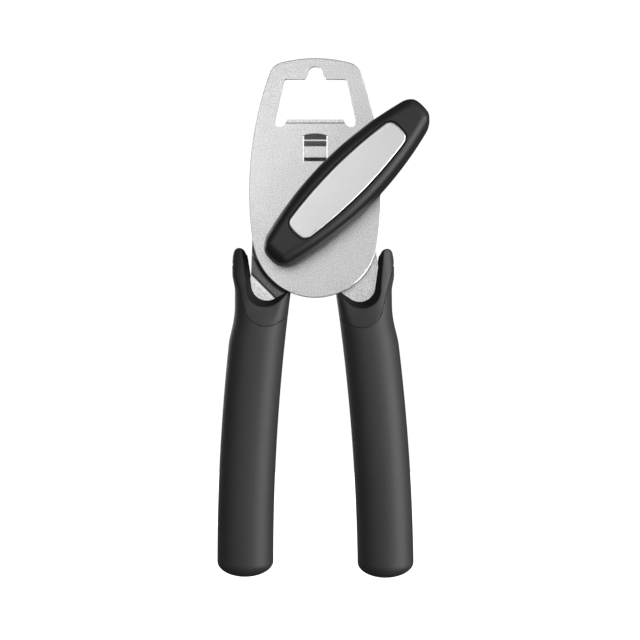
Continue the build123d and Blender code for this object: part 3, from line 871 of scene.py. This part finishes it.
def dress(piece: bpy.types.Object, finish: bpy.types.Material) -> None:
    """Puts one finish in all of a CAD node's material places.

    Args:
        piece: The node's object.
        finish: The material.
    """
    materials = piece.data.materials
    if not materials:
        materials.append(finish)
    for place in range(len(materials)):
        materials[place] = finish


class Side(Enum):
    """The side of the tool that a handle is on, seen from the knob."""

    LEFT = "left"
    RIGHT = "right"

    @property
    def body(self) -> str:
        """The CAD body that this side's handle moves with."""
        return "head" if self is Side.LEFT else "right_handle"


@dataclass
class Grips:
    """The two handle grips: a curved oval bar with a forked, scooped collar and a horn.

    Sizes are in millimetres and degrees, for the right side before it leans.
    """

    half_width: float = 11.3
    dome: float = 6.2
    sweep: float = 7.4
    sweep_z: float = -87.2
    waist_x: float = 32.45
    waist_top: float = -89.5
    waist_low: float = -94.5
    waist_end: float = -111.0
    waist_depth: float = 8.8
    horn_x: float = 33.5
    horn_z: float = -82.5
    horn_depth: float = 7.0
    tip_x: float = 30.75
    tip_radius: float = 2.8
    tip_round: float = 1.0
    shoulder_drop: float = 2.5
    draft: float = 24.0
    scoop: float = 0.24
    scoop_limit: float = 2.0
    scoop_edge: float = 0.5
    scoop_start: float = 7.0
    yoke_round: float = 0.4
    seam_round: float = 0.2
    wall_blur: float = 0.25
    margin: float = 1.0
    seam_margin: float = 1.5
    skin_reach: float = 6.0
    collar_grid: Point = (0.34, 0.34, 0.34)
    skin_grid: Point = (0.4, 0.4, 0.45)
    lean: float = 0.9
    lean_x: float = 53.0
    lean_z: float = -190.0
    yoke: RoundedWedge = field(default_factory=lambda: RoundedWedge(19.5, -87.2, 5.8, 55.0, 9.0))
    seam: RoundedWedge = field(default_factory=lambda: RoundedWedge(19.7, -95.3, 8.5, 60.0, 16.0))

    def __post_init__(self) -> None:
        """Takes the grip's place and depth from the frame."""
        skin_low, skin_high = (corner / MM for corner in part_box("left_grip_skin"))
        core_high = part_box("left_grip_core")[1] / MM
        self.low_x = -skin_low.x - self.half_width
        self.low_z = skin_low.z + self.dome
        self.mid_y = (skin_low.y + skin_high.y) / 2.0
        self.half_depth = (skin_high.y - skin_low.y) / 2.0
        self.top_z = core_high.z
        self.bend_radius = (self.sweep_z - self.low_z) ** 2 / (2.0 * self.sweep)

    def _inner(self, z: Samples) -> Samples:
        """The grip's inner edge at each height."""
        above = np.maximum(z - self.low_z, 0.0)
        return self.low_x - above * above / (2.0 * self.bend_radius) - self.half_width

    def _outside(self, x: Samples, y: Samples, z: Samples) -> Samples:
        """The oval bar and its dome, before any cut.

        Args:
            x: Places across.
            y: Places in depth.
            z: Places up.

        Returns:
            The field.
        """
        inner = self._inner(z)
        outer = inner + 2.0 * self.half_width
        narrowing = ramp(z, self.waist_end, self.waist_low)
        outer = outer + (self.waist_x - outer) * narrowing
        outer = outer + (self.horn_x - self.waist_x) * ramp(z, self.waist_top, self.horn_z)
        deep = self.half_depth + (self.waist_depth - self.half_depth) * narrowing
        deep = deep + (self.horn_depth - self.waist_depth) * ramp(z, self.waist_low, self.horn_z)
        wide = (outer - inner) / 2.0
        below = np.minimum(z - self.low_z, 0.0)
        across = (x - (outer + inner) / 2.0) / wide
        depth = (y - self.mid_y) / deep
        drop = below / self.dome
        size = np.sqrt(across**2 + depth**2 + drop**2)
        steep = np.sqrt((across / wide) ** 2 + (depth / deep) ** 2 + (drop / self.dome) ** 2)
        return (size - 1.0) * size / np.maximum(steep, 1e-6)

    def _scooped(self, x: Samples, y: Samples, z: Samples) -> Samples:
        """The outside, hollowed a little above the seam."""
        hollow = np.clip(-self.scoop * self.seam.distance(x, z), 0.0, self.scoop_limit)
        return self._outside(x, y, z) + hollow * ramp(x - self._inner(z), self.scoop_edge, self.scoop_start)

    def _fork(self, x: Samples, y: Samples, z: Samples) -> Samples:
        """The room of the yoke, wider towards both faces of the grip."""
        tan, cos = math.tan(math.radians(self.draft)), math.cos(math.radians(self.draft))
        return (self.yoke.distance(x, z) - np.abs(y - self.mid_y) * tan) * cos

    def yoke_wall(self, x: Samples, y: Samples, z: Samples) -> Samples:
        """Share of the yoke's walls, which get painted shade and a matt finish: 1 on them, 0 on the
        outside.
        """
        difference = -self._fork(x, y, z) - self._scooped(x, y, z)
        return ramp(difference, -self.wall_blur, self.wall_blur)

    def _shape(self, x: Samples, y: Samples, z: Samples) -> Samples:
        """The finished outside with the scoop, the yoke and the round horn tip.

        Args:
            x: Places across.
            y: Places in depth.
            z: Places up.

        Returns:
            The field.
        """
        body, fork = self._scooped(x, y, z), self._fork(x, y, z)
        body = smooth_max(body, -fork, self.yoke_round)
        tip_z = self.top_z - self.tip_radius
        across = np.abs(x - self.tip_x)
        tip = np.where(z > tip_z, np.hypot(across, z - tip_z), across) - self.tip_radius
        shoulder = z - (self.top_z - self.shoulder_drop)
        return smooth_max(body, -smooth_max(-tip, -shoulder, self.tip_round), self.tip_round)

    def collar(self, x: Samples, y: Samples, z: Samples) -> Samples:
        """Field of the hard collar and horn."""
        return smooth_max(self._shape(x, y, z), self.seam.distance(x, z), self.seam_round)

    def skin(self, x: Samples, y: Samples, z: Samples) -> Samples:
        """Field of the soft skin."""
        return smooth_max(self._shape(x, y, z), -self.seam.distance(x, z), self.seam_round)

    def placed(self, side: Side) -> Callable[[Samples], Samples]:
        """How points of the drawn grip are placed on one side.

        Args:
            side: The side.

        Returns:
            A function from rows of points to rows of points.
        """

        def move(points: Samples) -> Samples:
            """Mirrors to the left, or leans to the right.

            Args:
                points: Rows of points of the drawn grip.

            Returns:
                Rows of placed points.
            """
            moved = np.array(points, float)
            if side is Side.LEFT:
                moved[:, 0] = -moved[:, 0]
                return moved
            cos, sin = math.cos(math.radians(self.lean)), math.sin(math.radians(self.lean))
            across, up = moved[:, 0] - self.lean_x, moved[:, 2] - self.lean_z
            moved[:, 0] = self.lean_x + cos * across - sin * up
            moved[:, 2] = self.lean_z + sin * across + cos * up
            return moved

        return move

    def build(self, hard: bpy.types.Material, soft: bpy.types.Material) -> list[bpy.types.Object]:
        """Makes both grips, each as a collar and a skin.

        Args:
            hard: The collar's material.
            soft: The skin's material.

        Returns:
            The four pieces.
        """
        reach = self.half_depth + self.margin
        left, right = self.low_x - 2.0 * self.half_width, self.low_x + self.half_width + self.margin
        front, back = self.mid_y - reach, self.mid_y + reach
        seam_low = self.seam.z - self.seam.radius - self.seam_margin
        skin_low, skin_high = self.low_z - self.dome - self.margin, self.horn_z + self.skin_reach
        collar_box = SampleBox(
            (left, front, seam_low), (right, back, self.top_z + self.margin), self.collar_grid
        )
        skin_box = SampleBox((left, front, skin_low), (right, back, skin_high), self.skin_grid)
        kinds = (
            ("collar", self.collar, collar_box, hard, "hard_plastic", "core"),
            ("sleeve", self.skin, skin_box, soft, "grip_rubber", "skin"),
        )
        pieces = []
        for side, (label, solid, box, finish, slot, node) in product(Side, kinds):
            mesher = FieldMesher(solid, box, self.yoke_wall)
            mesh = mesher.mesh(f"{side.value}_grip_{label}", self.placed(side))
            pieces.append(add_piece(mesh, side.body, slot, finish, f"{side.value}_grip_{node}"))
        return pieces


@dataclass
class SteelWork:
    """The CAD pieces that keep their shape and get their finishes here.

    Sizes are in millimetres and degrees.
    """

    nodes: dict[str, bpy.types.Object]
    rim_radius: float = 25.1
    rim_gap: float = 0.5
    fold_angle: float = 225.0
    crease: float = 76.6
    highlight_step: float = 1.1

    def paint(self, finish: bpy.types.Material, *names: str) -> None:
        """Gives nodes a finish.

        Args:
            finish: The material.
            names: The nodes.
        """
        for name in names:
            dress(self.nodes[name], finish)
            LOG.info("%s: %s", name, finish.name)

    @staticmethod
    def middle(node: str) -> tuple[float, float]:
        """The x and z of a node's middle, in metres."""
        low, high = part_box(node)
        return ((low.x + high.x) / 2.0, (low.z + high.z) / 2.0)

    def painted_fold_light(self) -> tuple[PaintedShadowRing | PaintedLightStripe, ...]:
        """Left arm's painted light: painted shadow under the plate's rim, painted shade along the crease, a
        painted highlight band beside it.

        Returns:
            The three lines.
        """
        low, high = (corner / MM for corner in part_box("head_plate"))
        centre = ((low.x + high.x) / 2.0 * MM, (low.z + self.rim_radius) * MM)
        return (
            # painted shadow where the arm tucks under the plate's rim
            PaintedShadowRing(centre, radius=self.rim_radius + self.rim_gap, width=1.3, depth=0.95),
            # painted shade along the fold's crease
            PaintedLightStripe(self.fold_angle, self.crease, half_width=0.65, level=0.25),
            # painted highlight of the bend beside the crease
            PaintedLightStripe(self.fold_angle, self.crease + self.highlight_step, half_width=0.7, level=1.22),
        )

    def build(self) -> None:
        """Finishes every node that shows its own shape, apart from the knob's core."""
        shaft, axle, hub = (self.middle(name) for name in ("drive_shaft", "cutter_axle", "bush_ring"))
        self.paint(BlastedSteel("plate_blasted").build(), "head_plate")
        satin = BlastedSteel("arm_satin", level=0.84)
        self.paint(satin.build(), "right_arm")
        self.paint(replace(satin, name="arm_folded_painted_light", lines=self.painted_fold_light()).build(), "left_arm")
        self.paint(TurnedSteel("bush_turned", hub).build(), "eccentric_bush", "bush_ring")
        self.paint(TurnedSteel("shaft_turned", shaft).build(), "drive_shaft", "feed_wheel", "feed_washer")
        self.paint(TurnedSteel("cutter_ground", axle, level=0.60, roughness=0.22).build(), "cutter_wheel")
        plated = PlatedSteel("fastener_plated").build()
        self.paint(plated, "plate_rivets", "cutter_axle", "cutter_spacer", "cutter_washer")
        self.paint(plated, "feed_nut", "spring_washer", "knob_screw")
        self.paint(SinteredBronze("bushing_bronze").build(), "cutter_bushing")


@dataclass
class Knob:
    """The turning knob: a soft-edged bar with a steel inlay let into its front.

    Sizes are in millimetres and degrees. Fields take places along the knob, in depth and across it.
    """

    nodes: dict[str, bpy.types.Object]
    turn: float = 45.0
    draft: float = 7.0
    front_round: float = 3.9
    rear_round: float = 1.0
    wall: float = 2.6
    face: float = 3.0
    groove: float = 0.45
    groove_depth: float = 1.1
    groove_round: float = 0.12
    inlay_thick: float = 1.4
    inlay_round: float = 0.8
    inset: float = 0.02
    margin: float = 1.0
    grid: Point = (0.25, 0.3, 0.25)
    cover_bar: BowedBar = field(default_factory=lambda: BowedBar(84.9, 12.65, 6.3, 17.0, 3.6))
    inlay_bar: BowedBar = field(default_factory=lambda: BowedBar(57.2, 7.15, 2.3, 14.0, 1.9))

    def __post_init__(self) -> None:
        """Takes the knob's place and depth from the frame."""
        low, high = (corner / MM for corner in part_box("knob_grip"))
        self.centre = ((low.x + high.x) / 2.0, (low.z + high.z) / 2.0)
        self.front, self.rear = low.y + self.inset, high.y - self.inset
        self.inlay_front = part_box("knob_inlay")[0].y / MM + self.inset

    def cover(self, along: Samples, depth: Samples, across: Samples) -> Samples:
        """Field of the cover, pocketed for the inlay and open at the back for the core.

        Args:
            along: Places along the knob.
            depth: Places in depth.
            across: Places across it.

        Returns:
            The field.
        """
        outline = self.cover_bar.distance(along, across)
        tan, cos = math.tan(math.radians(self.draft)), math.cos(math.radians(self.draft))
        side = (outline + tan * (self.rear - depth)) * cos
        body = rounded_max(side, self.front - depth, self.front_round)
        body = rounded_max(body, depth - self.rear, self.rear_round)
        pocket = self.inlay_bar.distance(along, across) - self.groove
        pocket = np.maximum(pocket, depth - self.front - self.groove_depth)
        body = smooth_max(body, -pocket, self.groove_round)
        return np.maximum(body, -np.maximum(outline + self.wall, self.front + self.face - depth))

    def inlay(self, along: Samples, depth: Samples, across: Samples) -> Samples:
        """Field of the inlay.

        Args:
            along: Places along the knob.
            depth: Places in depth.
            across: Places across it.

        Returns:
            The field.
        """
        outline = self.inlay_bar.distance(along, across)
        body = rounded_max(outline, self.inlay_front - depth, self.inlay_round)
        return np.maximum(body, depth - self.inlay_front - self.inlay_thick)

    def placed(self, points: Samples) -> Samples:
        """Points turned to the knob's angle and moved to its place.

        Args:
            points: Rows of places along, in depth and across.

        Returns:
            Rows of places in the row frame.
        """
        cos, sin = math.cos(math.radians(self.turn)), math.sin(math.radians(self.turn))
        along, depth, across = np.array(points, float).T
        x = self.centre[0] + cos * along - sin * across
        z = self.centre[1] + sin * along + cos * across
        return np.stack([x, depth, z], axis=1)

    def _box(self, bar: BowedBar, front: float, rear: float) -> SampleBox:
        """Space round a bar, with a margin.

        Args:
            bar: The bar's outline.
            front: Its front in depth.
            rear: Its rear in depth.

        Returns:
            The space.
        """
        along, across = bar.length / 2.0 + self.margin, bar.half_width + self.margin
        low = (-along, front - self.margin, -across)
        return SampleBox(low, (along, rear + self.margin, across), self.grid)

    def build(self, cover: bpy.types.Material, steel: bpy.types.Material) -> list[bpy.types.Object]:
        """Makes the cover and the inlay, and finishes the core.

        Args:
            cover: The cover's and the core's material.
            steel: The inlay's material.

        Returns:
            The two pieces.
        """
        dress(self.nodes["knob_body"], cover)
        cover_box = self._box(self.cover_bar, self.front, self.rear)
        inlay_box = self._box(self.inlay_bar, self.inlay_front, self.inlay_front + self.inlay_thick)
        shell = FieldMesher(self.cover, cover_box).mesh("knob_cover", self.placed)
        plate = FieldMesher(self.inlay, inlay_box).mesh("knob_plate", self.placed)
        return [
            add_piece(shell, "drive", "knob_plastic", cover, "knob_grip"),
            add_piece(plate, "drive", "inlay_steel", steel, "knob_inlay"),
        ]


# ---- Studio ----


@dataclass(frozen=True)
class Softbox:
    """A soft area light that faces the object, in metres and degrees.

    Its bearing is measured from the front towards the right.
    """

    name: str
    bearing: float
    rise: float
    distance: float
    width: float
    height: float
    brightness: float

    def build(self, target: Vector) -> None:
        """Adds the light.

        Args:
            target: What it faces.
        """
        light = bpy.data.lights.new(self.name, "AREA")
        light.shape = "RECTANGLE"
        light.size, light.size_y = self.width, self.height
        light.energy = self.brightness * math.pi * self.width * self.height
        lamp = bpy.data.objects.new(self.name, light)
        bearing, rise = math.radians(self.bearing), math.radians(self.rise)
        flat = self.distance * math.cos(rise)
        away = Vector((flat * math.sin(bearing), -flat * math.cos(bearing), self.distance * math.sin(rise)))
        lamp.location = target + away
        lamp.rotation_euler = (target - lamp.location).to_track_quat("-Z", "Y").to_euler()
        bpy.context.scene.collection.objects.link(lamp)


@dataclass
class Studio:
    """Pale floor, white surroundings, softboxes and the camera, in metres unless the name says mm."""

    distance: float = 0.46
    view_height: float = 0.256
    eye_x: float = 0.0019
    eye_z: float = -0.1013
    ambient: float = 0.07
    floor_drop: float = 0.05
    floor_reach: float = 0.7
    floor_glow: float = 1.1
    floor_cloud_mm: float = 30.0
    floor_tones: tuple[float, float] = (0.90, 0.93)
    floor_roughness: float = 0.9
    backdrop: float = 1.05
    sensor_mm: float = 36.0
    nearest: float = 0.01
    boxes: tuple[Softbox, ...] = (
        Softbox("front_box", -19.0, 11.5, 1.5, 1.4, 0.60, 2.05),
        Softbox("right_box", 58.0, -6.0, 1.0, 0.70, 1.4, 5.6),
        Softbox("back_box", 205.0, 18.0, 1.3, 1.3, 1.0, 2.5),
    )

    def build(self, low: Vector, high: Vector) -> None:
        """Builds the studio round the object.

        Args:
            low: The object's lowest corner.
            high: The object's highest corner.
        """
        middle = (low + high) / 2.0
        self._floor(low.z - self.floor_drop)
        self._world()
        for box in self.boxes:
            box.build(middle)
        self._camera(Vector((self.eye_x, 0.0, self.eye_z)))

    def _floor(self, height: float) -> None:
        """A wide pale floor.

        Args:
            height: Its height.
        """
        mesh = bpy.data.meshes.new("floor")
        reach = self.floor_reach
        rim = [(x * reach, y * reach, height) for x, y in ((-1, -1), (1, -1), (1, 1), (-1, 1))]
        mesh.from_pydata(rim, [], [(0, 1, 2, 3)])
        graph = Graph("floor_white")
        cloud = graph.noise(graph.place(), self.floor_cloud_mm, 2.0)
        colour = graph.mixed(cloud, *(grey(tone) for tone in self.floor_tones))
        graph.set(Base_Color=colour, Roughness=self.floor_roughness)
        graph.set(Emission_Color=colour, Emission_Strength=self.floor_glow)
        mesh.materials.append(graph.material)
        floor = bpy.data.objects.new("floor", mesh)
        floor.visible_diffuse = False
        floor.visible_glossy = False
        bpy.context.scene.collection.objects.link(floor)
        floor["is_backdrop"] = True

    def _world(self) -> None:
        """White surroundings for the eye, softer grey as a light."""
        world = bpy.data.worlds.new("studio")
        world.use_nodes = True
        tree = world.node_tree
        tree.nodes.clear()
        path = tree.nodes.new("ShaderNodeLightPath")
        level = tree.nodes.new("ShaderNodeMapRange")
        level.inputs["To Min"].default_value = self.ambient
        level.inputs["To Max"].default_value = self.backdrop
        back = tree.nodes.new("ShaderNodeBackground")
        back.inputs["Color"].default_value = (1.0, 1.0, 1.0, 1.0)
        output = tree.nodes.new("ShaderNodeOutputWorld")
        tree.links.new(path.outputs["Is Camera Ray"], level.inputs["Value"])
        tree.links.new(level.outputs["Result"], back.inputs["Strength"])
        tree.links.new(back.outputs["Background"], output.inputs["Surface"])
        bpy.context.scene.world = world

    def _camera(self, middle: Vector) -> None:
        """Camera square to the head plate.

        Args:
            middle: The point that it looks at.
        """
        camera = bpy.data.cameras.new("camera")
        camera.sensor_width = self.sensor_mm
        camera.lens = camera.sensor_width * self.distance / self.view_height
        camera.clip_start = self.nearest
        eye = bpy.data.objects.new("camera", camera)
        eye.location = middle + Vector((0.0, -self.distance, 0.0))
        eye.rotation_euler = (math.pi / 2.0, 0.0, 0.0)
        bpy.context.scene.collection.objects.link(eye)
        bpy.context.scene.camera = eye


# ---- Build ----


def corners(bounds: object) -> tuple[Vector, Vector]:
    low, high = bounds
    return Vector(low), Vector(high)


def main() -> None:
    """Builds the whole scene."""
    logging.basicConfig(level=logging.INFO, format="%(name)s: %(message)s")
    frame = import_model()
    cad_box = [list(corner) for corner in corners(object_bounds())]
    nodes = frame["nodes"]
    SteelWork(nodes).build()
    satin = BlastedSteel(
        "inlay_satin", level=0.80, roughness=0.40, grain_mm=0.35, depth_mm=0.01, speck=0.07
    )
    black = MouldedBlack("knob_black", level=0.020, roughness=0.46)
    pieces = Knob(nodes).build(black.build(), satin.build())
    # the yoke walls' darker colour is painted shade, their matt finish is real
    collar = MouldedBlack("collar_black", level=0.046, roughness=0.52, masked_shade_level=0.027)
    sleeve = replace(collar, name="sleeve_black", level=0.048, roughness=0.55, grain_mm=0.30)
    pieces += Grips().build(collar.build(), sleeve.build())
    for piece in pieces:
        LOG.info("%s: %d points", piece.name, len(piece.data.vertices))
    Studio().build(*corners(cad_box))
    bpy.context.scene.view_settings.view_transform = "Standard"


if __name__ == "__main__":
    main()
